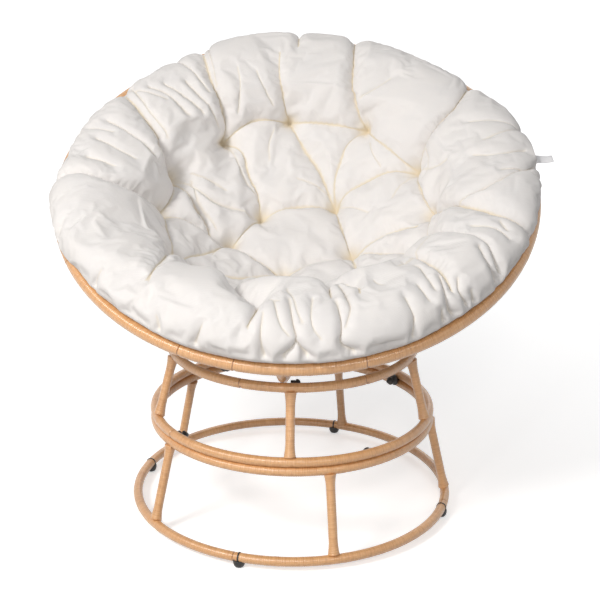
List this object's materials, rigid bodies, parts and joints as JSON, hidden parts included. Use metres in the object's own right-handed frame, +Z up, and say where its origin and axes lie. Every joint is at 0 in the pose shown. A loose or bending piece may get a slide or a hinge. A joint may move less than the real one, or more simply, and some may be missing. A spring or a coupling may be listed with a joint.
{
  "type": "papasan chair",
  "caption": "Round dished lounge chair: a tufted cushion in a ribbed bowl frame, tilted on an open drum base of stacked rings and slanting struts.",
  "frame": {"origin": "on the floor under the middle of the chair's bounding box, cushion tag included", "axes": "+Z up, -Y towards the front, the low side of the tilted bowl, +X to the right of someone who faces the chair"},
  "size_m": [1.083, 0.955, 0.9522],
  "materials": {
    "wicker": "satin woven wrap",
    "black_fittings": "moulded",
    "cushion_cover": "matte cotton",
    "tag": "plain woven tag"
  },
  "bodies": {
    "base": {"bottom_ring": "wicker", "lower_waist_ring": "wicker", "upper_waist_ring": "wicker", "top_ring": "wicker", "lower_strut_1": "wicker", "lower_strut_2": "wicker", "lower_strut_3": "wicker", "lower_strut_4": "wicker", "lower_strut_5": "wicker", "upper_strut_1": "wicker", "upper_strut_2": "wicker", "upper_strut_3": "wicker", "upper_strut_4": "wicker", "upper_strut_5": "wicker", "glide_1": "black_fittings", "glide_strap_1": "black_fittings", "glide_2": "black_fittings", "glide_strap_2": "black_fittings", "glide_3": "black_fittings", "glide_strap_3": "black_fittings", "glide_4": "black_fittings", "glide_strap_4": "black_fittings", "waist_clamp_1": "black_fittings", "waist_clamp_2": "black_fittings", "waist_clamp_3": "black_fittings", "waist_clamp_4": "black_fittings", "bowl_stop": "black_fittings"},
    "bowl": {"bowl_rim": "wicker", "seat_hoop": "wicker", "centre_hoop": "wicker", "bowl_rib_1": "wicker", "bowl_rib_2": "wicker", "bowl_rib_3": "wicker", "bowl_rib_4": "wicker", "bowl_rib_5": "wicker", "bowl_rib_6": "wicker", "bowl_rib_7": "wicker", "bowl_rib_8": "wicker"},
    "cushion": {"cushion": "cushion_cover", "cushion_tag": "tag"}
  },
  "joints": [
    {"name": "bowl_tilt", "type": "hinge", "parent": "base", "child": "bowl", "pos_m": [-0.01559, -0.09994, 0.88803], "axis": [1, 0, 0], "range_deg": [-28, 8]},
    {"name": "cushion_lift", "type": "slide", "parent": "bowl", "child": "cushion", "axis": [0, -0.4695, 0.8829], "range_m": [0, 0.45]}
  ]
}
